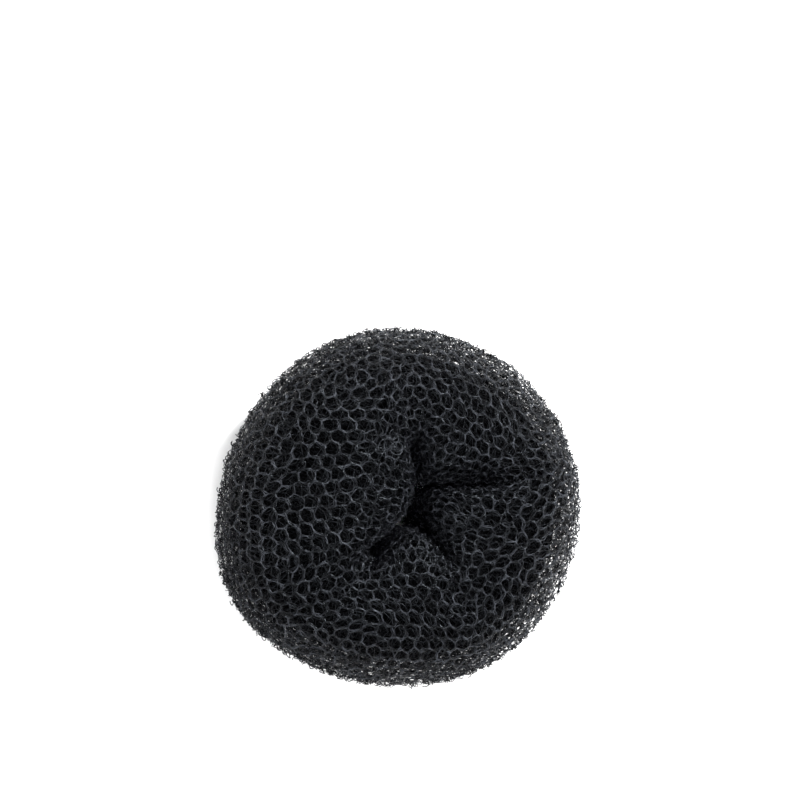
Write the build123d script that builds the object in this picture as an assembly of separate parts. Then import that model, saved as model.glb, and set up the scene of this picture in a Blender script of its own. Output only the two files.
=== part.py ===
from build123d import *

import math
import os
from collections import namedtuple

# A hair bun maker, in millimetres: a tube of knitted net, rolled on itself into a soft ring.
# It lies flat, with +Z up. X runs across it and Y up it, as it is seen from above.
# The origin is the middle of its footprint, on the surface that it lies on.

# The ring
ring_width = 60.0  # across it, along X
ring_depth = 57.5  # along Y
ring_height = 26.0  # from the surface that it lies on to the crest of its highest lobe
flat_width = 5.5  # the band round its underside that rests on the surface

# The pinched hole, at mid height, where it is narrowest
hole_width = 4.8  # between the lobes on its left and its right
hole_length = 8.0  # between the lobes above and below it
hole_right = 1.3  # its middle, from the middle of the ring
hole_up = 0.7
crease_gap = 2.8  # between two lobes at the closed end of the widest crease

# The form of the lobes
crease_height = 0.94  # the crest where a crease crosses it, as a share of ring_height
crest_inward = 0.08  # how far the crest is from mid section towards the hole, as a share of it
edge_pinch = 3.0  # how closely a lobe's edge hugs its corners, 1 for a plain curve
outer_fullness = 2.1  # the section's roundness towards the rim: 2 is an ellipse, more is squarer
inner_fullness = 4.0  # and towards the hole, where the lobes press on each other
slope_reach = 0.45  # how far a lobe's slope to its crease reaches, as a share of the way round it

# The facets of the surface
facet = 1.8  # their length along the rim
section_steps = 26  # from the flat band over the crest and back to it

# The outline seen from above: an angle from +X, and the reach as a share of the round one's
Bearing = namedtuple("Bearing", "angle share")
OUTLINE = [
    Bearing(0, 0.985),
    Bearing(30, 0.985),
    Bearing(60, 0.975),
    Bearing(90, 0.980),
    Bearing(120, 0.975),
    Bearing(150, 0.965),
    Bearing(180, 0.995),
    Bearing(210, 1.045),
    Bearing(240, 1.000),
    Bearing(270, 0.985),
    Bearing(300, 1.000),
    Bearing(330, 0.995),
]

# Each crease runs from the hole towards the rim, which it would meet at crease_angle.
# Its reach is the share of that way over which it parts the lobes at mid height.
# Its clockwise wall and its anticlockwise one are shares of crease_gap away from that line.
# The lobe that follows it anticlockwise slopes to it: beside it and above mid height, the slope
# is a share of inner_fullness.
# In the hole, the lobe has a near corner, next to this crease, and a far one, next to the other.
# Each is a share of half the hole's width right of its middle, and of half its length up.
# The lobe's crest is a share of ring_height.
Fold = namedtuple(
    "Fold",
    "crease_angle reach clockwise anticlockwise slope near_right near_up far_right far_up crest",
)
FOLDS = [
    Fold(14.5, 0.430, 0.11, 0.11, 0.375, 0.96, 0.93, 0.30, 1.08, 0.97),
    Fold(96.0, 0.335, 0.64, 0.36, 1.000, -0.83, 1.05, -1.04, -0.62, 1.00),
    Fold(226.0, 0.350, 0.39, 0.39, 1.000, -1.60, -1.15, 0.67, -1.10, 0.98),
    Fold(296.5, 0.310, 0.14, 0.11, 1.000, 0.92, -0.52, 0.92, 0.72, 0.96),
]

hole_middle = Vector(hole_right, hole_up)


def share_at(angle):
    """The outline's share at an angle, on a smooth curve through the rows of OUTLINE."""
    step = 360 / len(OUTLINE)
    row = int(angle % 360 // step)
    along = angle % 360 / step - row
    before, start, end, after = (OUTLINE[(row + k) % len(OUTLINE)].share for k in (-1, 0, 1, 2))
    slope = (end - before) / 2
    bend = before - 2.5 * start + 2 * end - after / 2
    twist = 1.5 * (start - end) + (after - before) / 2
    return start + slope * along + bend * along**2 + twist * along**3


def unfitted_rim(angle):
    """The outline's point at an angle, for a ring of radius 1."""
    return share_at(angle) * Vector(1, 0).rotate(Axis.Z, angle)


UNFITTED = [unfitted_rim(angle) for angle in range(360)]
left, right = min(p.X for p in UNFITTED), max(p.X for p in UNFITTED)
lowest, highest = min(p.Y for p in UNFITTED), max(p.Y for p in UNFITTED)


def rim(angle):
    """The outline's point at an angle, fitted to the ring's width and depth about the origin."""
    point = unfitted_rim(angle)
    return Vector(
        ring_width * ((point.X - left) / (right - left) - 0.5),
        ring_depth * ((point.Y - lowest) / (highest - lowest) - 0.5),
    )


def crease_end(fold, side):
    """The closed end of a crease: side 1 is its anticlockwise wall, and -1 its clockwise one."""
    way = rim(fold.crease_angle) - hole_middle
    across = way.rotate(Axis.Z, 90).normalized()
    share = fold.anticlockwise if side > 0 else -fold.clockwise
    return hole_middle + way * fold.reach + across * (crease_gap * share)


def corner(right, up):
    """A corner of a lobe in the hole, from its shares of half the hole's width and length."""
    return hole_middle + Vector(right * hole_width, up * hole_length) / 2


def lobe_edge(fold, following):
    """A lobe's edge in the hole at mid height: out of one crease, round the lobe, into the next."""
    near = corner(fold.near_right, fold.near_up)
    far = corner(fold.far_right, fold.far_up)
    ends = crease_end(fold, 1), crease_end(following, -1)
    return Bezier(ends[0], near, far, ends[1], weights=[1, edge_pinch, edge_pinch, 1])


Meridian = namedtuple("Meridian", "inner outer crest fullness")


def lobe_meridians(fold, following):
    """Each section of one lobe: its ends in the hole and at the rim, its height and its fullness."""
    edge = lobe_edge(fold, following)
    turn = (following.crease_angle - fold.crease_angle) % 360
    count = round(math.radians(turn) * (ring_width + ring_depth) / 4 / facet)
    meridians = []
    for k in range(count):
        across = k / (count - 1)
        rise = 1 - (2 * across - 1) ** 4
        crest = ring_height * (crease_height + (fold.crest - crease_height) * rise)
        outer = rim(fold.crease_angle + turn * (k + 0.5) / count)
        slope = (fold.slope - 1) * math.exp(-((across / slope_reach) ** 2))
        meridians.append(Meridian(edge @ across, outer, crest, inner_fullness * (1 + slope)))
    return meridians


def half_section(half_length, upper, lower):
    """Half a section, as shares across from the crest and up from the flat band to the crest.

    Its fullness is upper above mid height and lower below it.
    """
    settled = math.asin((flat_width / 2 / half_length) ** (lower / 2))
    floor = math.cos(settled) ** (2 / lower)
    points = []
    for k in range(section_steps // 2 + 1):
        turn = settled - math.pi / 2 + k * (math.pi - settled) / (section_steps // 2)
        power = 2 / (upper if turn > 0 else lower)
        rise = math.copysign(abs(math.sin(turn)) ** power, math.sin(turn))
        points.append((abs(math.cos(turn)) ** power, (rise + floor) / (1 + floor)))
    return points


def section(meridian):
    """The points of a section: from the flat band's outer edge over the crest to its inner edge."""
    way = meridian.outer - meridian.inner
    outwards = way * (0.5 + crest_inward)
    inwards = outwards - way
    crest = meridian.outer - outwards
    outside = half_section(outwards.length, outer_fullness, outer_fullness)
    inside = half_section(inwards.length, meridian.fullness, inner_fullness)
    places = [(outwards * across, rise) for across, rise in outside]
    places += [(inwards * across, rise) for across, rise in reversed(inside[:-1])]
    return [crest + place + Vector(0, 0, meridian.crest * rise) for place, rise in places]


def facets(points, following):
    """The triangles between two neighbouring sections."""
    faces = []
    for (a, b), (d, c) in zip(zip(points, points[1:]), zip(following, following[1:])):
        faces.append(Face(Wire.make_polygon([a, d, c])))
        faces.append(Face(Wire.make_polygon([a, c, b])))
    return faces


def rolled_net():
    """The whole ring as one solid, closed by the flat band on which it lies."""
    meridians = []
    for fold, following in zip(FOLDS, FOLDS[1:] + FOLDS[:1]):
        meridians += lobe_meridians(fold, following)
    sections = [section(meridian) for meridian in meridians]
    faces = []
    for points, following in zip(sections, sections[1:] + sections[:1]):
        faces += facets(points, following)
    band_outside = Wire.make_polygon([points[0] for points in sections])
    band_inside = Wire.make_polygon([points[-1] for points in sections])
    faces.append(Face(band_outside, [band_inside]))
    return Solid(Shell(faces))


os.makedirs("parts", exist_ok=True)
export_step(rolled_net(), "parts/rolled_net.step")
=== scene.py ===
"""Dresses the hair bun maker: turns of knitted nylon net, rolled on a wound core that is near-black
partly by its own colour and partly as painted shade.

Lengths are in metres. The ring lies flat with +Z up, as the frame has it.
"""

import logging
import math
import random
from dataclasses import dataclass, field
from enum import Enum
from typing import ClassVar, NamedTuple

import bpy
import numpy as np
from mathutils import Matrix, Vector

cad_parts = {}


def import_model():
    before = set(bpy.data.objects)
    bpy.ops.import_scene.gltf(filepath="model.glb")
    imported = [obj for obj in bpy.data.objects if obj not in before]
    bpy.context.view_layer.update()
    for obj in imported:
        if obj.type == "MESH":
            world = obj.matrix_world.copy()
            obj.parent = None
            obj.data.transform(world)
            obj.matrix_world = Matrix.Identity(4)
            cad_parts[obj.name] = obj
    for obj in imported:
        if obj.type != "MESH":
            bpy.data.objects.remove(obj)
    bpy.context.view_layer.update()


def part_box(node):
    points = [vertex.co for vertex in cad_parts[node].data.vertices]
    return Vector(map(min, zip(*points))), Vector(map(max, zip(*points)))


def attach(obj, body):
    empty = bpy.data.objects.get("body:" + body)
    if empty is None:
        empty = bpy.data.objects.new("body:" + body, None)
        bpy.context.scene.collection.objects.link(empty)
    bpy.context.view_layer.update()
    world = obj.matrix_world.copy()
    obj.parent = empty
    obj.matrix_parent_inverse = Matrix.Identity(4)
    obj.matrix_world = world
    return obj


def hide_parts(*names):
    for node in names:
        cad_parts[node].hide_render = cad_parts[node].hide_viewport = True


LOG = logging.getLogger("bun_maker")

NODE = "rolled_net"
BODY = "root"

Colour = tuple[float, float, float]
Socket = bpy.types.NodeSocket


class Fold(NamedTuple):
    """A crease, and the lobe that follows it anticlockwise.

    The crease runs from the hole towards the rim, which it would meet at crease_angle, and it
    parts the lobes at mid height over the share reach of that way. Its clockwise wall and its
    anticlockwise one are shares of crease_gap away from that line. The lobe slopes to it: beside
    it the lobe's fullness is the share slope of the usual one. In the hole, the lobe's near
    corner and its far one are shares of half the hole's width right of its middle, and of half
    its length up. The lobe's crest is a share of the ring's height.
    """

    crease_angle: float
    reach: float
    clockwise: float
    anticlockwise: float
    slope: float
    near_right: float
    near_up: float
    far_right: float
    far_up: float
    crest: float


# The outline's reach at every 30 degrees from +X, each as a share of the round one's
OUTLINE = (0.985, 0.985, 0.975, 0.980, 0.975, 0.965, 0.995, 1.045, 1.000, 0.985, 1.000, 0.995)

FOLDS = (
    Fold(13.0, 0.370, 0.14, 0.12, 0.375, 0.82, 0.87, 0.20, 1.15, 0.97),
    Fold(96.0, 0.320, 0.42, 0.72, 1.000, -0.35, 1.06, -1.10, -0.80, 1.00),
    Fold(226.0, 0.365, 0.68, 0.66, 1.000, -2.60, -0.92, 0.85, -1.20, 0.98),
    Fold(296.5, 0.315, 0.22, 0.17, 1.600, 0.45, -0.60, 0.36, 0.81, 0.96),
)


def spaced(points: np.ndarray, count: int) -> np.ndarray:
    """Spaces points evenly along a line.

    Args:
        points: the line's points, a row each.
        count: how many points come back, the first and last included.

    Returns:
        The new points, a row each.
    """
    steps = np.linalg.norm(np.diff(points, axis=0), axis=1)
    along = np.concatenate([[0.0], np.cumsum(steps)])
    at = np.linspace(0.0, along[-1], count)
    return np.stack([np.interp(at, along, column) for column in points.T], axis=1)


def stations(line: np.ndarray, shares: np.ndarray) -> np.ndarray:
    """Finds places on a closed line.

    Args:
        line: the line's points, a row each, the first one not repeated at the end.
        shares: how far round each place lies, as shares of the way.

    Returns:
        Each place's number among the line's points, with a fraction between two of them.
    """
    steps = np.linalg.norm(np.roll(line, -1, axis=0) - line, axis=1)
    along = np.concatenate([[0.0], np.cumsum(steps)])
    return np.interp(shares * along[-1], along, np.arange(len(along)))


def points_at(line: np.ndarray, places: np.ndarray) -> np.ndarray:
    """Reads the points at some places of a closed line.

    Args:
        line: the line's points, a row each, the first one not repeated at the end.
        places: where the points lie, as stations gives them.

    Returns:
        The points, a row each.
    """
    closed = np.concatenate([line, line[:1]])
    numbers = np.arange(len(closed))
    return np.stack([np.interp(places, numbers, column) for column in closed.T], axis=1)


def strip(
    lower: list[list[float]], upper: list[list[float]], round_once: float
) -> list[tuple[int, int, int]]:
    """Joins two closed rows of points with triangles, each with the shorter of its new sides.

    Args:
        lower: one row's points, the last value of each being how far round the ring it lies.
        upper: the next row's points.
        round_once: how much that last value grows in one turn of the ring.

    Returns:
        The triangles, with the upper row's points numbered on from the lower row's.
    """
    count, following = len(lower), len(upper)
    ahead = lower + [[*lower[0][:-1], lower[0][-1] + round_once]]
    above = upper + [[*upper[0][:-1], upper[0][-1] + round_once]]
    triangles = []
    i = j = 0
    while i < count or j < following:
        a, b = i % count, count + j % following
        use_lower = i < count
        if i < count and j < following:
            use_lower = math.dist(ahead[i + 1], above[j]) <= math.dist(ahead[i], above[j + 1])
        if use_lower:
            i += 1
            triangles.append((a, i % count, b))
        else:
            j += 1
            triangles.append((a, count + j % following, b))
    return triangles


def added(name: str, mesh: bpy.types.Mesh) -> bpy.types.Object:
    """Adds a mesh to the scene.

    Args:
        name: what the object and the mesh are called.
        mesh: the mesh.

    Returns:
        The new object.
    """
    made = bpy.data.objects.new(name, mesh)
    bpy.context.scene.collection.objects.link(made)
    mesh.name = name
    return made


@dataclass
class RingForm:
    """The rolled ring's form, as the frame has it, at any depth under its surface.

    The sizes of the hole, the creases and the sections are called what the part's source calls
    them. A turn of net that lies deeper comes in by depth_inside of its depth at the hole, and by
    all of it elsewhere. Nearer to the hole than gather_reach the cells are gathered, down to the
    share most_gather of their size. Where two rows of cells are joined, a side that leans round
    the ring counts as longer, by stray for each section. The last four fields say how finely the
    form is worked out.
    """

    width: float
    depth: float
    height: float
    flat_width: float = 0.0055
    hole_width: float = 0.0022
    hole_length: float = 0.0070
    hole_middle: tuple[float, float] = (0.0014, 0.0009)
    crease_gap: float = 0.0028
    crease_height: float = 0.94
    crest_flatness: int = 4
    edge_pinch: float = 3.0
    crest_inward: float = 0.08
    outer_fullness: float = 2.1
    inner_fullness: float = 4.0
    slope_reach: float = 0.45
    depth_inside: float = 0.3
    gather_reach: float = 0.013
    most_gather: float = 0.6
    stray: float = 0.00004
    lobe_steps: int = 90
    edge_samples: int = 20
    section_steps: int = 96
    girth_steps: int = 200

    def unfitted_rim(self, angle: np.ndarray) -> np.ndarray:
        """Works out the outline for a ring of radius 1, on a smooth curve through OUTLINE.

        Args:
            angle: the angles in degrees.

        Returns:
            The points, a row each.
        """
        shares = np.array(OUTLINE)
        step = 360 / len(shares)
        row = (angle % 360 // step).astype(int)
        along = angle % 360 / step - row
        before, start, end, after = (shares[(row + k) % len(shares)] for k in (-1, 0, 1, 2))
        slope = (end - before) / 2
        bend = before - 2.5 * start + 2 * end - after / 2
        twist = 1.5 * (start - end) + (after - before) / 2
        share = start + slope * along + bend * along**2 + twist * along**3
        turn = np.radians(angle)
        return share[:, None] * np.stack([np.cos(turn), np.sin(turn)], axis=1)

    def rim(self, angle: np.ndarray) -> np.ndarray:
        """Works out the outline, fitted to the ring's width and depth.

        Args:
            angle: the angles in degrees.

        Returns:
            The points, a row each.
        """
        whole = self.unfitted_rim(np.arange(360.0))
        low, high = whole.min(axis=0), whole.max(axis=0)
        shares = (self.unfitted_rim(angle) - low) / (high - low) - 0.5
        return shares * np.array([self.width, self.depth])

    def crease_end(self, fold: Fold, side: int) -> np.ndarray:
        """Finds the closed end of a crease.

        Args:
            fold: the crease.
            side: 1 for its anticlockwise wall, and -1 for its clockwise one.

        Returns:
            The point.
        """
        middle = np.array(self.hole_middle)
        way = self.rim(np.array([fold.crease_angle]))[0] - middle
        across = np.array([-way[1], way[0]]) / np.linalg.norm(way)
        share = fold.anticlockwise if side > 0 else -fold.clockwise
        return middle + way * fold.reach + across * (self.crease_gap * share)

    def lobe_edge(self, fold: Fold, following: Fold) -> np.ndarray:
        """Draws a lobe's edge in the hole at mid height, out of one crease and into the next.

        Args:
            fold: the crease before the lobe, with the lobe's own shares.
            following: the crease after it.

        Returns:
            Evenly spaced points, a row each.
        """
        middle = np.array(self.hole_middle)
        half_hole = np.array([self.hole_width, self.hole_length]) / 2
        start, end = self.crease_end(fold, 1), self.crease_end(following, -1)
        near = middle + np.array([fold.near_right, fold.near_up]) * half_hole
        far = middle + np.array([fold.far_right, fold.far_up]) * half_hole
        t = np.linspace(0.0, 1.0, self.edge_samples * self.lobe_steps)[:, None]
        pinch = 3 * self.edge_pinch
        weights = (1 - t) ** 3, pinch * t * (1 - t) ** 2, pinch * t**2 * (1 - t), t**3
        corners = start, near, far, end
        line = sum(weight * corner for weight, corner in zip(weights, corners)) / sum(weights)
        return spaced(line, self.lobe_steps)

    def meridians(self) -> tuple[np.ndarray, np.ndarray, np.ndarray, np.ndarray]:
        """Works out the plan ends, the crest height and the inner fullness of every section.

        Returns:
            The points in the hole, the points at the rim, the crest heights and the fullnesses.
        """
        inner, outer, crest, fullness = [], [], [], []
        across = np.linspace(0.0, 1.0, self.lobe_steps)
        at = (np.arange(self.lobe_steps) + 0.5) / self.lobe_steps
        rise = 1 - (2 * across - 1) ** self.crest_flatness
        for fold, following in zip(FOLDS, FOLDS[1:] + FOLDS[:1]):
            turn = (following.crease_angle - fold.crease_angle) % 360
            inner.append(self.lobe_edge(fold, following))
            outer.append(self.rim(fold.crease_angle + turn * at))
            height = self.crease_height + (fold.crest - self.crease_height) * rise
            crest.append(height * self.height)
            slope = (fold.slope - 1) * np.exp(-((across / self.slope_reach) ** 2))
            fullness.append(self.inner_fullness * (1 + slope))
        return tuple(np.concatenate(rows) for rows in (inner, outer, crest, fullness))

    def half_section(self, half_length: float, upper: float, lower: float) -> np.ndarray:
        """Draws half a section, as shares across from the crest and up from the flat band.

        Args:
            half_length: how far it reaches from the crest.
            upper: the fullness of its upper part.
            lower: the fullness of its lower part.

        Returns:
            The shares, from the flat band up to the crest.
        """
        settled = math.asin((self.flat_width / 2 / half_length) ** (lower / 2))
        floor = math.cos(settled) ** (2 / lower)
        turn = np.linspace(settled - math.pi / 2, math.pi / 2, self.section_steps)
        power = 2 / np.where(turn > 0, upper, lower)
        rise = np.sign(np.sin(turn)) * np.abs(np.sin(turn)) ** power
        return np.stack([np.abs(np.cos(turn)) ** power, (rise + floor) / (1 + floor)], axis=1)

    def section(
        self, inner: np.ndarray, outer: np.ndarray, crest: float, fullness: float, under: float
    ) -> np.ndarray:
        """Draws one section, from the rim side of the flat band right round to it.

        Args:
            inner: its plan end in the hole.
            outer: its plan end at the rim.
            crest: its height.
            fullness: how full it is towards the hole.
            under: how deep under the surface this turn lies.

        Returns:
            The points, a row each, the last one the same as the first.
        """
        length = float(np.linalg.norm(outer - inner))
        way = (outer - inner) / length
        out_length = length * (0.5 + self.crest_inward)
        in_length = length - out_length
        outside = self.half_section(out_length, self.outer_fullness, self.outer_fullness)
        inside = self.half_section(in_length, fullness, self.inner_fullness)[::-1]
        outwards = outside[:, 0] * (out_length - under)
        inwards = inside[1:, 0] * (under * self.depth_inside - in_length)
        reach = np.concatenate([outwards, inwards, outwards[:1]])
        rise = np.concatenate([outside[:, 1], inside[1:, 1], outside[:1, 1]])
        centre = inner + way * in_length
        heights = crest / 2 + (rise - 0.5) * (crest - 2 * under)
        return np.column_stack([centre + reach[:, None] * way, heights])

    def rows(self, under: float, shares: np.ndarray) -> np.ndarray:
        """Draws closed lines round the ring, some way under its surface.

        Args:
            under: the depth of this turn under the outermost one.
            shares: where each line crosses the sections, as shares of the way round them.

        Returns:
            The points, as an array of lines by sections by 3.
        """
        ends = zip(*self.meridians())
        sections = [self.section(*end, under)[:-1] for end in ends]
        lines = [points_at(section, stations(section, shares)) for section in sections]
        return np.array(lines).swapaxes(0, 1)

    def cell_rows(self, under: float, cell: float, shift: float) -> list[list[list[float]]]:
        """Sets out the middles of a net's cells in rows round the ring.

        Every other row is moved on by half a cell, so the rows are even in number.

        Args:
            under: the depth of this turn under the outermost one.
            cell: how far apart the cells are.
            shift: how far the rows of cells are moved round the section, in rows.

        Returns:
            The rows of points, the last value of each being how far round the ring it lies.
        """
        row_step = cell * math.sqrt(3) / 2
        steps = np.diff(self.rows(under, np.linspace(0, 1, self.girth_steps)), axis=0)
        girth = np.linalg.norm(steps, axis=2).sum(axis=0).mean()
        count = 2 * round(girth / row_step / 2)
        rows = []
        for number, line in enumerate(self.rows(under, (np.arange(count) + shift) / count)):
            around = np.linalg.norm(line - np.roll(line, 1, axis=0), axis=1).sum()
            reach = np.linalg.norm(line[:, :2] - self.hole_middle, axis=1).mean()
            squeeze = np.clip(reach / self.gather_reach, self.most_gather, 1.0)
            in_row = round(around / (cell * squeeze))
            at = stations(line, (np.arange(in_row) + number % 2 / 2) / in_row)
            rows.append(np.column_stack([points_at(line, at), at * self.stray]).tolist())
        return rows

    def cells(self, under: float, cell: float, shift: float) -> bpy.types.Mesh:
        """Makes a mesh with a point for the middle of each cell of a net.

        Args:
            under: the depth of this turn under the outermost one.
            cell: how far apart the cells are.
            shift: how far the rows of cells are moved round the section, in rows.

        Returns:
            The mesh of triangles between neighbouring cells, with its faces outwards.
        """
        rows = self.cell_rows(under, cell, shift)
        round_once = len(FOLDS) * self.lobe_steps * self.stray
        first = np.cumsum([0] + [len(row) for row in rows])
        faces = []
        for number, (lower, upper) in enumerate(zip(rows, rows[1:] + rows[:1])):
            for corners in strip(lower, upper, round_once):
                faces.append([(first[number] + corner) % first[-1] for corner in corners])
        mesh = bpy.data.meshes.new("cells")
        mesh.from_pydata([point[:3] for row in rows for point in row], [], faces)
        return mesh

    def surface(self, under: float, around: int, up: int) -> bpy.types.Mesh:
        """Makes a closed smooth mesh of the ring, some way under its surface.

        Args:
            under: its depth under the outermost turn.
            around: how many faces it has round the ring.
            up: how many round the section.

        Returns:
            The mesh, with its faces outwards.
        """
        lines = self.rows(under, np.arange(up) / up)
        shares = np.arange(around) / around
        points = np.array([points_at(line, stations(line, shares)) for line in lines])
        a, b = np.meshgrid(np.arange(around), np.arange(up), indexing="ij")
        corners = [(a, b), (a + 1, b), (a + 1, b + 1), (a, b + 1)]
        faces = np.stack([j % up * around + i % around for i, j in corners], axis=-1)
        mesh = bpy.data.meshes.new("surface")
        mesh.from_pydata(points.reshape(-1, 3).tolist(), [], faces.reshape(-1, 4).tolist())
        mesh.polygons.foreach_set("use_smooth", [True] * len(mesh.polygons))
        return mesh


@dataclass(frozen=True)
class NylonFinish:
    """Black nylon monofilament: dark, smooth and a little glossy, and paler in patches, which are
    partly its own random tone and partly painted glints along the strands.
    """

    name: str
    dark: Colour = (0.0022, 0.0022, 0.0028)
    # The pale patches are partly random tone and partly painted glints
    pale: Colour = (0.0310, 0.0335, 0.0400)
    dark_until: float = 0.46
    pale_from: float = 0.60
    roughness_low: float = 0.18
    roughness_high: float = 0.42
    specular: float = 0.22
    tint: Colour = (0.82, 0.91, 1.0)
    refraction: float = 1.53
    patch_scale: float = 1000.0
    patch_detail: float = 2.0

    def material(self) -> bpy.types.Material:
        """Makes this finish.

        Returns:
            The node-based material.
        """
        made = bpy.data.materials.new(self.name)
        made.use_nodes = True
        nodes, links = made.node_tree.nodes, made.node_tree.links
        shader = nodes["Principled BSDF"]
        place = nodes.new("ShaderNodeTexCoord")
        # Patches of random tone, which also paint glints along the strands
        patches = nodes.new("ShaderNodeTexNoise")
        patches.inputs["Scale"].default_value = self.patch_scale
        patches.inputs["Detail"].default_value = self.patch_detail
        links.new(place.outputs["Object"], patches.inputs["Vector"])
        colour = nodes.new("ShaderNodeValToRGB")
        stops = (self.dark_until, self.dark), (self.pale_from, self.pale)
        for element, (position, shade) in zip(colour.color_ramp.elements, stops):
            element.position = position
            element.color = (*shade, 1.0)
        links.new(patches.outputs["Fac"], colour.inputs["Fac"])
        links.new(colour.outputs["Color"], shader.inputs["Base Color"])
        rough = nodes.new("ShaderNodeMapRange")
        rough.inputs["To Min"].default_value = self.roughness_low
        rough.inputs["To Max"].default_value = self.roughness_high
        links.new(patches.outputs["Fac"], rough.inputs["Value"])
        links.new(rough.outputs["Result"], shader.inputs["Roughness"])
        shader.inputs["IOR"].default_value = self.refraction
        shader.inputs["Specular IOR Level"].default_value = self.specular
        shader.inputs["Specular Tint"].default_value = (*self.tint, 1.0)
        return made


@dataclass(frozen=True)
class FloorFinish:
    """A plain pale studio surface."""

    name: str = "pale_floor"
    colour: Colour = (0.95, 0.95, 0.95)
    roughness: float = 0.9

    def material(self) -> bpy.types.Material:
        """Makes this finish.

        Returns:
            The material.
        """
        made = bpy.data.materials.new(self.name)
        made.use_nodes = True
        shader = made.node_tree.nodes["Principled BSDF"]
        shader.inputs["Base Color"].default_value = (*self.colour, 1.0)
        shader.inputs["Roughness"].default_value = self.roughness
        shader.inputs["Specular IOR Level"].default_value = 0.0
        return made


# The outermost strands' finish, with its painted glints strongest
OUTER = NylonFinish("nylon_outer")
# Darker, less glossy copy of the nylon for the turns just below the outermost: painted shade
SHADED = NylonFinish(
    "nylon_shaded",
    dark=(0.0012, 0.0012, 0.0016),
    pale=(0.0065, 0.0072, 0.0090),
    specular=0.16,
)
# Darker still, with little gloss: painted deep shade for the lowest turns and the fringe
DEEP_SHADED = NylonFinish(
    "nylon_deep_shaded",
    dark=(0.0006, 0.0006, 0.0008),
    pale=(0.0018, 0.0020, 0.0025),
    specular=0.06,
)
# The core: the nylon's own black, darkened further and stripped of gloss as painted shade
WOUND_AND_SHADE = NylonFinish(
    "nylon_core_and_shade",
    dark=(0.0005, 0.0005, 0.0006),
    pale=(0.0020, 0.0020, 0.0022),
    specular=0.0,
)
# A paler copy of the nylon: painted light on the loops that stand up into the light
LOOSE_LIT = NylonFinish(
    "nylon_loose_lit",
    dark=(0.0060, 0.0065, 0.0080),
    pale=(0.0350, 0.0380, 0.0440),
)


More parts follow.
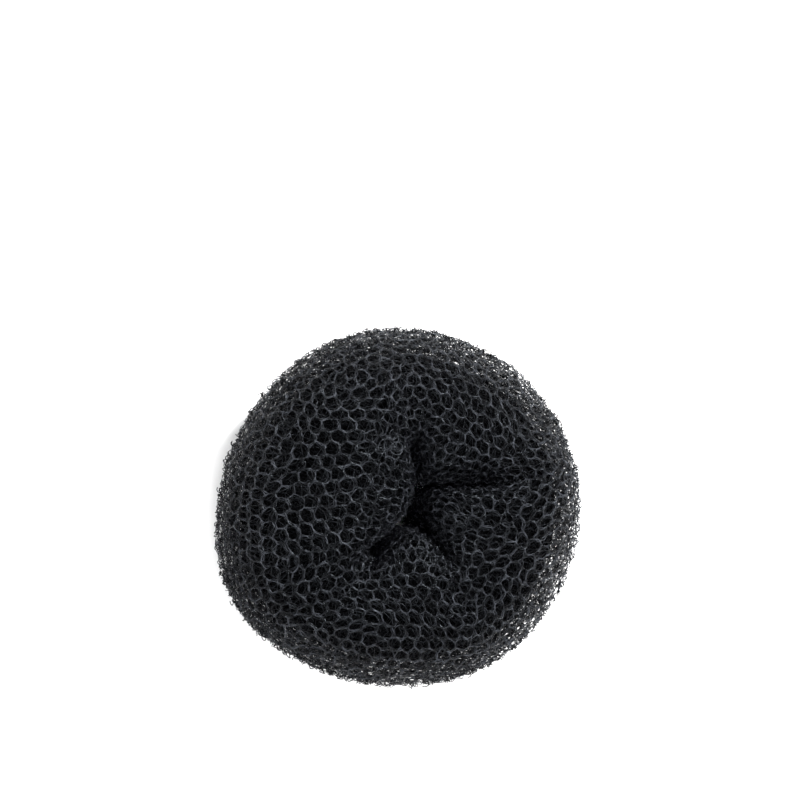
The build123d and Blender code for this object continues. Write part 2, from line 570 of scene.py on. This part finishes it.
class StrandTree:
    """A node tree that turns a surface into strands, with named inputs.

    A random value node has sockets of the same name for each kind of value, and the chance
    fields are the places of those for a plain number.
    """

    chance_low: ClassVar[int] = 2
    chance_high: ClassVar[int] = 3
    chance_out: ClassVar[int] = 1

    def __init__(self, name: str, counts: tuple[str, ...], measures: tuple[str, ...]) -> None:
        """Makes the tree and its inputs.

        Args:
            name: the tree's name.
            counts: the inputs that are whole numbers.
            measures: the inputs that are lengths, shares or densities.
        """
        self.tree = bpy.data.node_groups.new(name, "GeometryNodeTree")
        self.sockets: dict[str, str] = {}
        self.add_socket("Geometry", "NodeSocketGeometry")
        for count in counts:
            self.add_socket(count, "NodeSocketInt")
        for measure in measures:
            self.add_socket(measure, "NodeSocketFloat")
        self.add_socket("Finish", "NodeSocketMaterial")
        outputs = self.tree.interface
        outputs.new_socket("Geometry", in_out="OUTPUT", socket_type="NodeSocketGeometry")
        self.given = self.node("NodeGroupInput").outputs

    def add_socket(self, name: str, kind: str) -> None:
        """Adds an input and notes its identifier."""
        made = self.tree.interface.new_socket(name, in_out="INPUT", socket_type=kind)
        self.sockets[name] = made.identifier

    def node(self, kind: str, **settings: object) -> bpy.types.Node:
        """Adds a node.

        Args:
            kind: the node's type.
            settings: its properties.

        Returns:
            The node.
        """
        made = self.tree.nodes.new(kind)
        for name, value in settings.items():
            setattr(made, name, value)
        return made

    def feed(self, socket: Socket, value: object) -> None:
        """Gives an input its value.

        Args:
            socket: the input.
            value: the output that is linked to it, or a plain value.
        """
        if isinstance(value, Socket):
            self.tree.links.new(value, socket)
        else:
            socket.default_value = value

    def math(self, operation: str, *values: object) -> Socket:
        """Adds a math node.

        Args:
            operation: what it works out.
            values: sockets or plain numbers, in the order of its inputs.

        Returns:
            Its output.
        """
        made = self.node("ShaderNodeMath", operation=operation)
        for socket, value in zip(made.inputs, values):
            self.feed(socket, value)
        return made.outputs[0]

    def vector_math(self, operation: str, first: object, second: object) -> Socket:
        """Adds a vector math node.

        Args:
            operation: what it works out.
            first: the vector it starts from.
            second: the other vector, or the number to scale by.

        Returns:
            Its output.
        """
        made = self.node("ShaderNodeVectorMath", operation=operation)
        self.feed(made.inputs[0], first)
        self.feed(made.inputs["Scale"] if operation == "SCALE" else made.inputs[1], second)
        return made.outputs[0]

    def chance(self, low: object, high: object, seed: object) -> Socket:
        """Adds a node for a random number.

        Args:
            low: the least that it may be.
            high: the most.
            seed: what it is drawn from.

        Returns:
            The number for each face or point.
        """
        made = self.node("FunctionNodeRandomValue", data_type="FLOAT")
        self.feed(made.inputs[self.chance_low], low)
        self.feed(made.inputs[self.chance_high], high)
        self.feed(made.inputs["Seed"], seed)
        return made.outputs[self.chance_out]

    def swept(self, lines: Socket, thickness: object) -> Socket:
        """Sweeps a round strand along lines.

        Args:
            lines: the curves.
            thickness: how thick it is, as a share of the usual thickness.

        Returns:
            The strands.
        """
        profile = self.node("GeometryNodeCurvePrimitiveCircle")
        self.feed(profile.inputs["Resolution"], self.given["Sides"])
        self.feed(profile.inputs["Radius"], self.given["Strand Radius"])
        tubes = self.node("GeometryNodeCurveToMesh")
        self.feed(tubes.inputs["Curve"], lines)
        self.feed(tubes.inputs["Profile Curve"], profile.outputs[0])
        self.feed(tubes.inputs["Scale"], thickness)
        return tubes.outputs[0]

    def finished(self, strands: Socket) -> None:
        """Smooths, realizes and dresses the strands, and gives them back.

        Args:
            strands: the strands, which may be instances.
        """
        smooth = self.node("GeometryNodeSetShadeSmooth")
        self.feed(smooth.inputs["Geometry"], strands)
        real = self.node("GeometryNodeRealizeInstances")
        self.feed(real.inputs["Geometry"], smooth.outputs[0])
        dressed = self.node("GeometryNodeSetMaterial")
        self.feed(dressed.inputs["Geometry"], real.outputs[0])
        self.feed(dressed.inputs["Material"], self.given["Finish"])
        self.feed(self.node("NodeGroupOutput").inputs["Geometry"], dressed.outputs[0])

    def lay(self, made: bpy.types.Object, values: dict[str, object]) -> None:
        """Runs the tree on an object and keeps what comes out as its plain mesh.

        Args:
            made: the object, with the surface that the strands lie on.
            values: what each input is set to.
        """
        surface = made.data
        modifier = made.modifiers.new("strands", "NODES")
        modifier.node_group = self.tree
        for name, value in values.items():
            modifier[self.sockets[name]] = value
        made.update_tag()
        bpy.context.view_layer.update()
        shown = made.evaluated_get(bpy.context.evaluated_depsgraph_get())
        plain = bpy.data.meshes.new_from_object(shown)
        made.modifiers.clear()
        made.data = plain
        bpy.data.meshes.remove(surface)
        plain.name = made.name


class NetPart(Enum):
    """Which strands of a net a tree makes."""

    BORDERS = "net_borders"
    CELLS = "net_cells"


class NetTree(StrandTree):
    """The node tree that lays a net on a mesh with a point for each cell.

    A strand's middle line stays least_height above the floor, and far is a bound so far off that
    it holds nothing back sideways. A noise varies about its middle, and as far each way.
    """

    least_height: ClassVar[float] = 0.0001
    far: ClassVar[float] = 1.0
    middle: ClassVar[float] = 0.5

    def __init__(self, part: NetPart) -> None:
        """Builds the tree.

        Args:
            part: one strand between each two cells, or a round loop in each cell.
        """
        super().__init__(
            part.value,
            ("Points Per Strand", "Sides", "Seed", "Crimp Seed"),
            (
                "Fill",
                "Fill Spread",
                "Strand Radius",
                "Swelling",
                "Unevenness",
                "Unevenness Size",
                "Crimp",
                "Crimp Size",
                "Ruffle",
                "Ruffle Size",
            ),
        )
        cells = self.node("GeometryNodeDualMesh")
        self.feed(cells.inputs["Mesh"], self.given["Geometry"])
        noted = self.node("GeometryNodeCaptureAttribute", domain="POINT")
        noted.capture_items.new("VECTOR", "Normal")
        self.feed(noted.inputs["Geometry"], cells.outputs[0])
        self.feed(noted.inputs["Normal"], self.node("GeometryNodeInputNormal").outputs[0])
        lines = noted.outputs["Geometry"]
        if part is NetPart.CELLS:
            lines = self.apart(lines)
        strands = self.node("GeometryNodeMeshToCurve")
        self.feed(strands.inputs["Mesh"], lines)
        rounded = self.node("GeometryNodeCurveSplineType", spline_type="CATMULL_ROM")
        self.feed(rounded.inputs["Curve"], strands.outputs[0])
        even = self.node("GeometryNodeResampleCurve")
        self.feed(even.inputs["Curve"], rounded.outputs[0])
        self.feed(even.inputs["Count"], self.given["Points Per Strand"])
        moved = self.node("GeometryNodeSetPosition")
        self.feed(moved.inputs["Geometry"], even.outputs[0])
        self.feed(moved.inputs["Position"], self.placed(noted.outputs["Normal"]))
        self.finished(self.swept(moved.outputs[0], self.thickness()))

    def apart(self, cells: Socket) -> Socket:
        """Parts the cells from each other, each drawn in by its own share.

        Args:
            cells: the net as one mesh with a face for each cell.

        Returns:
            The parted cells.
        """
        split = self.node("GeometryNodeSplitEdges")
        self.feed(split.inputs["Mesh"], cells)
        least = self.math("SUBTRACT", self.given["Fill"], self.given["Fill Spread"])
        most = self.math("ADD", self.given["Fill"], self.given["Fill Spread"])
        drawn = self.node("GeometryNodeScaleElements", domain="FACE")
        self.feed(drawn.inputs["Geometry"], split.outputs[0])
        self.feed(drawn.inputs["Scale"], self.chance(least, most, self.given["Crimp Seed"]))
        return drawn.outputs[0]

    def thickness(self) -> Socket:
        """Makes a strand a little thicker here and thinner there.

        Returns:
            Its thickness at each point, as a share of the usual one.
        """
        noise = self.noise(self.given["Crimp Size"], self.given["Crimp Seed"])
        centred = self.math("SUBTRACT", noise.outputs["Fac"], self.middle)
        swelling = self.math("MULTIPLY", centred, 1.0 / self.middle)
        return self.math("ADD", 1.0, self.math("MULTIPLY", swelling, self.given["Swelling"]))

    def noise(self, size: Socket, seed: Socket) -> bpy.types.Node:
        """Adds a smooth noise over the place.

        Args:
            size: how large its patches are.
            seed: what it is drawn from.

        Returns:
            The noise node.
        """
        noise = self.node("ShaderNodeTexNoise", noise_dimensions="4D")
        self.feed(noise.inputs["Vector"], self.node("GeometryNodeInputPosition").outputs[0])
        self.feed(noise.inputs["W"], seed)
        self.feed(noise.inputs["Scale"], self.math("DIVIDE", 1.0, size))
        self.feed(noise.inputs["Detail"], 0.0)
        return noise

    def shifted(self, kind: str, seed: str) -> Socket:
        """Makes a smooth seeded shift, so that no two cells are quite alike.

        Args:
            kind: the input with how far it may shift; its size over the net is an input too.
            seed: the input with the seed.

        Returns:
            The shift at each point.
        """
        noise = self.noise(self.given[f"{kind} Size"], self.given[seed])
        centred = self.vector_math("SUBTRACT", noise.outputs["Color"], (self.middle,) * 3)
        return self.vector_math("SCALE", centred, self.given[kind])

    def placed(self, normal: Socket) -> Socket:
        """Ruffles, shifts and crimps a strand, but not to under the floor.

        Args:
            normal: the net's normal at each point.

        Returns:
            Where each point lies.
        """
        ruffle = self.node("ShaderNodeSeparateXYZ")
        self.feed(ruffle.inputs[0], self.shifted("Ruffle", "Crimp Seed"))
        lift = self.vector_math("SCALE", normal, ruffle.outputs["X"])
        uneven = self.shifted("Unevenness", "Seed")
        crimped = self.shifted("Crimp", "Crimp Seed")
        shift = self.vector_math("ADD", uneven, crimped)
        spot = self.node("GeometryNodeInputPosition").outputs[0]
        moved = self.vector_math("ADD", spot, self.vector_math("ADD", lift, shift))
        return self.vector_math("MAXIMUM", moved, (-self.far, -self.far, self.least_height))


class CurlTree(StrandTree):
    """The node tree that sets small loose coils of strand on a surface."""

    def __init__(self) -> None:
        """Builds the tree: a coil at each of many points, each turned and sized by chance."""
        super().__init__(
            "loose_curls",
            ("Points Per Curl", "Sides", "Seed"),
            (
                "Density",
                "Steepest",
                "Turns",
                "Start Radius",
                "End Radius",
                "Rise",
                "Tilt",
                "Smallest",
                "Strand Radius",
            ),
        )
        spread = self.node("GeometryNodeDistributePointsOnFaces")
        self.feed(spread.inputs["Mesh"], self.given["Geometry"])
        self.feed(spread.inputs["Density"], self.density())
        self.feed(spread.inputs["Seed"], self.given["Seed"])
        curls = self.node("GeometryNodeInstanceOnPoints")
        self.feed(curls.inputs["Points"], spread.outputs["Points"])
        self.feed(curls.inputs["Instance"], self.curl())
        self.feed(curls.inputs["Rotation"], self.turned())
        size_seed = self.math("ADD", self.given["Seed"], 1.0)
        self.feed(curls.inputs["Scale"], self.chance(self.given["Smallest"], 1.0, size_seed))
        self.finished(curls.outputs[0])

    def density(self) -> Socket:
        """Sets fewer coils where the surface faces up or down, and none where it does so most.

        Returns:
            How many stand on each square metre.
        """
        facing = self.node("ShaderNodeSeparateXYZ")
        self.feed(facing.inputs[0], self.node("GeometryNodeInputNormal").outputs[0])
        upright = self.math("ABSOLUTE", facing.outputs["Z"])
        steep = self.math("DIVIDE", upright, self.given["Steepest"])
        share = self.math("MAXIMUM", self.math("SUBTRACT", 1.0, steep), 0.0)
        return self.math("MULTIPLY", self.given["Density"], share)

    def turned(self) -> Socket:
        """Turns each coil any way round and tilts it by chance.

        Returns:
            Its rotation.
        """
        most = self.node("ShaderNodeCombineXYZ")
        self.feed(most.inputs["X"], self.given["Tilt"])
        self.feed(most.inputs["Y"], self.given["Tilt"])
        self.feed(most.inputs["Z"], math.tau)
        turned = self.node("FunctionNodeRandomValue", data_type="FLOAT_VECTOR")
        self.feed(turned.inputs["Max"], most.outputs[0])
        self.feed(turned.inputs["Seed"], self.given["Seed"])
        return turned.outputs["Value"]

    def curl(self) -> Socket:
        """Makes one open coil of a turn or so.

        Returns:
            The coil.
        """
        coil = self.node("GeometryNodeCurveSpiral")
        self.feed(coil.inputs["Resolution"], self.given["Points Per Curl"])
        self.feed(coil.inputs["Rotations"], self.given["Turns"])
        self.feed(coil.inputs["Start Radius"], self.given["Start Radius"])
        self.feed(coil.inputs["End Radius"], self.given["End Radius"])
        self.feed(coil.inputs["Height"], self.given["Rise"])
        return self.swept(coil.outputs[0], 1.0)


@dataclass
class NetTurn:
    """One turn of the rolled net, some way under the ring's surface.

    The cells are a cell apart, and the loop in one fills the share fill of it, give or take
    fill_spread. Strands swell by up to the share swelling of their thickness. They are shifted
    by unevenness, which varies over some cells, by crimp, which varies along a strand, and by
    ruffle, which lifts them off the net.
    """

    name: str
    under: float
    seed: int
    crimp_seed: int
    points: int
    strand_radius: float = 0.000062
    sides: int = 3
    cell: float = 0.00228
    fill: float = 0.95
    fill_spread: float = 0.12
    swelling: float = 0.8
    unevenness: float = 0.0011
    unevenness_size: float = 0.0060
    crimp: float = 0.0010
    crimp_size: float = 0.0008
    ruffle: float = 0.0018
    ruffle_size: float = 0.0013

    def build(self, form: RingForm, tree: NetTree, finish: bpy.types.Material) -> bpy.types.Object:
        """Lays the net and turns it into a plain mesh.

        Args:
            form: the ring's form.
            tree: the node tree that lays a net.
            finish: the strands' material.

        Returns:
            The finished object.
        """
        shift = random.Random(self.seed).random()
        made = added(self.name, form.cells(self.under, self.cell, shift))
        values = {
            "Points Per Strand": self.points,
            "Sides": self.sides,
            "Seed": self.seed,
            "Crimp Seed": self.crimp_seed,
            "Fill": self.fill,
            "Fill Spread": self.fill_spread,
            "Strand Radius": self.strand_radius,
            "Swelling": self.swelling,
            "Unevenness": self.unevenness,
            "Unevenness Size": self.unevenness_size,
            "Crimp": self.crimp,
            "Crimp Size": self.crimp_size,
            "Ruffle": self.ruffle,
            "Ruffle Size": self.ruffle_size,
            "Finish": finish,
        }
        tree.lay(made, values)
        return made


@dataclass
class Curls:
    """Open coils of strand that stand on a surface, set by chance.

    density of them would stand on each square metre of a wall. On a slope there are fewer, and
    none where the normal's share upwards is steepest or more. tilt is the most that one leans,
    and smallest is the least size of one, as a share of the largest.
    """

    name: str
    seed: int
    density: float
    steepest: float
    turns: float
    start_radius: float
    end_radius: float
    rise: float
    tilt: float
    smallest: float
    strand_radius: float
    sides: int
    points: int

    def ground(self, form: RingForm) -> bpy.types.Mesh:
        """The surface that the coils stand on."""
        raise NotImplementedError

    def build(self, form: RingForm, tree: CurlTree, finish: bpy.types.Material) -> bpy.types.Object:
        """Sets the coils and turns them into a plain mesh.

        Args:
            form: the ring's form.
            tree: the node tree that sets coils.
            finish: the strands' material.

        Returns:
            The finished object.
        """
        made = added(self.name, self.ground(form))
        values = {
            "Points Per Curl": self.points,
            "Sides": self.sides,
            "Seed": self.seed,
            "Density": self.density,
            "Steepest": self.steepest,
            "Turns": self.turns,
            "Start Radius": self.start_radius,
            "End Radius": self.end_radius,
            "Rise": self.rise,
            "Tilt": self.tilt,
            "Smallest": self.smallest,
            "Strand Radius": self.strand_radius,
            "Finish": finish,
        }
        tree.lay(made, values)
        return made


@dataclass
class Fringe(Curls):
    """The short curls that stand off the ring's side."""

    name: str = "loose_curls"
    seed: int = 5
    density: float = 850000.0
    steepest: float = 0.55
    turns: float = 1.15
    start_radius: float = 0.00028
    end_radius: float = 0.00058
    rise: float = 0.0006
    tilt: float = math.tau
    smallest: float = 0.6
    strand_radius: float = 0.00009
    sides: int = 3
    points: int = 9
    under: float = 0.0001
    around: int = 180
    up: int = 64

    def ground(self, form: RingForm) -> bpy.types.Mesh:
        """The ring's surface, a little under the outermost strands."""
        return form.surface(self.under, self.around, self.up)


@dataclass
class PulledLoops(Curls):
    """The few larger loops that are pulled out of the net beside the hole."""

    name: str = "pulled_loops"
    seed: int = 3
    density: float = 600000.0
    steepest: float = 100.0
    turns: float = 0.95
    start_radius: float = 0.0010
    end_radius: float = 0.0014
    rise: float = 0.0006
    tilt: float = 0.6
    smallest: float = 0.6
    strand_radius: float = 0.000055
    sides: int = 5
    points: int = 24
    place: tuple[float, float] = (-0.0056, 0.0097)
    lift: float = 0.0002
    reach: float = 0.0017

    def ground(self, form: RingForm) -> bpy.types.Mesh:
        """Makes a small square on top of the ring.

        Args:
            form: the ring's form.

        Returns:
            The square, facing up.
        """
        (x, y), z, r = self.place, form.height + self.lift, self.reach
        square = bpy.data.meshes.new("square")
        corners = [(x - r, y - r, z), (x + r, y - r, z), (x + r, y + r, z), (x - r, y + r, z)]
        square.from_pydata(corners, [], [(0, 1, 2, 3)])
        return square


@dataclass
class WoundCore:
    """The innermost turns, wound too closely to see between. Their near-black, unglossy colour is
    partly the nylon's own and partly painted shade deep in the roll.
    """

    name: str = "wound_core_and_shade"
    under: float = 0.0040
    around: int = 300
    up: int = 40

    def build(self, form: RingForm, finish: bpy.types.Material) -> bpy.types.Object:
        """Makes the core as one closed surface.

        Args:
            form: the ring's form.
            finish: its material.

        Returns:
            The finished object.
        """
        made = added(self.name, form.surface(self.under, self.around, self.up))
        made.data.materials.append(finish)
        return made


@dataclass
class RolledNet:
    """The whole ring: its wound core, the turns of net that show over it, and its loose strands.

    Each turn lies deeper than the one before it. The outermost one has finer strands, in two
    sets, the second crimped by its own seed. Of the turns below it, the first few wear painted
    shade and the others a darker painted deep shade, for the shadow that falls deep in the roll.
    """

    form: RingForm
    depths: tuple[float, ...] = (0.0002, 0.0006, 0.0010, 0.0014, 0.0018, 0.0022, 0.0027, 0.0033)
    first_seed: int = 11
    second_seed: int = 100
    fine_strand: float = 0.000056
    border_points: int = 5
    cell_points: int = 9
    second_turn_points: int = 7
    deep_points: int = 5
    shaded_turns: int = 2
    pieces: list[bpy.types.Object] = field(default_factory=list)

    def build(self) -> None:
        """Builds every piece and ties it to the frame."""
        outer, shaded, deep_shaded = OUTER.material(), SHADED.material(), DEEP_SHADED.material()
        self.add(WoundCore().build(self.form, WOUND_AND_SHADE.material()))
        borders, cells = NetTree(NetPart.BORDERS), NetTree(NetPart.CELLS)
        self.add_outermost("borders", self.first_seed, self.border_points, borders, outer)
        self.add_outermost("cells", self.second_seed, self.cell_points, cells, outer)
        for number, under in enumerate(self.depths[1:], start=2):
            seed = self.first_seed + number
            points = self.second_turn_points if number == 2 else self.deep_points
            # The turns below wear painted shade, darker the deeper they lie
            finish = shaded if number < 2 + self.shaded_turns else deep_shaded
            turn = NetTurn(f"net_turn_{number}", under, seed, seed, points)
            self.add(turn.build(self.form, cells, finish))
        curls = CurlTree()
        # The fringe's curls wear the painted deep shade, so they stand dark against the floor
        self.add(Fringe().build(self.form, curls, deep_shaded))
        # The pulled loops wear painted light, a paler copy of the nylon
        self.add(PulledLoops().build(self.form, curls, LOOSE_LIT.material()))

    def add_outermost(
        self, part: str, crimp_seed: int, points: int, tree: NetTree, finish: bpy.types.Material
    ) -> None:
        """Adds one of the two sets of strands of the outermost turn.

        Args:
            part: which set it is.
            crimp_seed: what its crimps are drawn from.
            points: how many points each of its strands has.
            tree: the node tree that lays it.
            finish: its material.
        """
        turn = NetTurn(
            f"net_turn_1_{part}",
            self.depths[0],
            self.first_seed,
            crimp_seed,
            points,
            strand_radius=self.fine_strand,
        )
        self.add(turn.build(self.form, tree, finish))

    def add(self, piece: bpy.types.Object) -> None:
        """Ties a finished piece to the frame.

        Args:
            piece: the piece.
        """
        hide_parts(NODE)
        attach(piece, BODY)
        self.pieces.append(piece)


class Lamp(NamedTuple):
    """A square soft light: its name, where it stands, its side and its power in watts."""

    name: str
    place: tuple[float, float, float]
    size: float
    power: float


@dataclass
class Studio:
    """A pale floor, soft lights, and the camera above the ring.

    The camera leans camera_tilt degrees to the left of straight down. At its distance the
    picture is view_across wide, and the ring's middle is at ring_at in it, in pixels.
    """

    target: Vector
    camera_tilt: float = 16.0
    distance: float = 0.60
    view_across: float = 0.1290
    ring_at: tuple[float, float] = (400.0, 507.0)
    picture_side: float = 800.0
    floor_reach: float = 4.0
    sky: Colour = (1.0, 1.0, 1.0)
    sky_strength: float = 0.62
    lamps: tuple[Lamp, ...] = (
        Lamp("key", (0.26, 0.36, 0.36), 0.08, 8.0),
        Lamp("fill", (-0.22, -0.42, 0.50), 0.40, 3.4),
        Lamp("top", (0.0, 0.0, 0.80), 0.60, 7.0),
    )

    def build(self) -> None:
        """Adds everything that isn't part of the object."""
        self.add_floor()
        self.add_camera()
        for lamp in self.lamps:
            self.add_light(lamp)
        self.add_sky()
        bpy.context.scene.view_settings.view_transform = "Standard"

    def add_floor(self) -> None:
        """Adds the pale floor under the ring."""
        r = self.floor_reach
        mesh = bpy.data.meshes.new("floor")
        mesh.from_pydata([(-r, -r, 0), (r, -r, 0), (r, r, 0), (-r, r, 0)], [], [(0, 1, 2, 3)])
        mesh.materials.append(FloorFinish().material())
        added("floor", mesh)

    def add_camera(self) -> None:
        """Aims the camera at the ring from above, a little to its left."""
        tilt = math.radians(self.camera_tilt)
        middle = self.picture_side / 2
        data = bpy.data.cameras.new("camera")
        camera = bpy.data.objects.new("camera", data)
        bpy.context.scene.collection.objects.link(camera)
        data.sensor_fit = "HORIZONTAL"
        data.lens = data.sensor_width * self.distance / self.view_across
        back = Vector((-math.sin(tilt), 0.0, math.cos(tilt)))
        camera.location = self.target + back * self.distance
        camera.rotation_euler = (0.0, -tilt, 0.0)
        data.shift_x = (middle - self.ring_at[0]) / self.picture_side
        data.shift_y = (self.ring_at[1] - middle) / self.picture_side
        bpy.context.scene.camera = camera

    def add_light(self, lamp: Lamp) -> None:
        """Adds a light that points at the ring.

        Args:
            lamp: the light.
        """
        data = bpy.data.lights.new(lamp.name, "AREA")
        data.size = lamp.size
        data.energy = lamp.power
        light = bpy.data.objects.new(lamp.name, data)
        bpy.context.scene.collection.objects.link(light)
        light.location = lamp.place
        way = self.target - Vector(lamp.place)
        light.rotation_euler = way.to_track_quat("-Z", "Y").to_euler()

    def add_sky(self) -> None:
        """Adds the even light from all round."""
        world = bpy.data.worlds.new("studio")
        bpy.context.scene.world = world
        world.use_nodes = True
        background = world.node_tree.nodes["Background"]
        background.inputs["Color"].default_value = (*self.sky, 1.0)
        background.inputs["Strength"].default_value = self.sky_strength


def triangle_count(piece: bpy.types.Object) -> int:
    """How many triangles a piece has."""
    return sum(len(face.vertices) - 2 for face in piece.data.polygons)


def main() -> None:
    """Loads the frame, builds the ring and the studio, and logs each piece's triangles."""
    logging.basicConfig(level=logging.INFO, format="%(message)s")
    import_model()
    low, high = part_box(NODE)
    form = RingForm(width=high.x - low.x, depth=high.y - low.y, height=high.z - low.z)
    net = RolledNet(form)
    net.build()
    for piece in net.pieces:
        LOG.info("%s: %d triangles", piece.name, triangle_count(piece))
    Studio(target=(low + high) / 2).build()


if __name__ == "__main__":
    main()
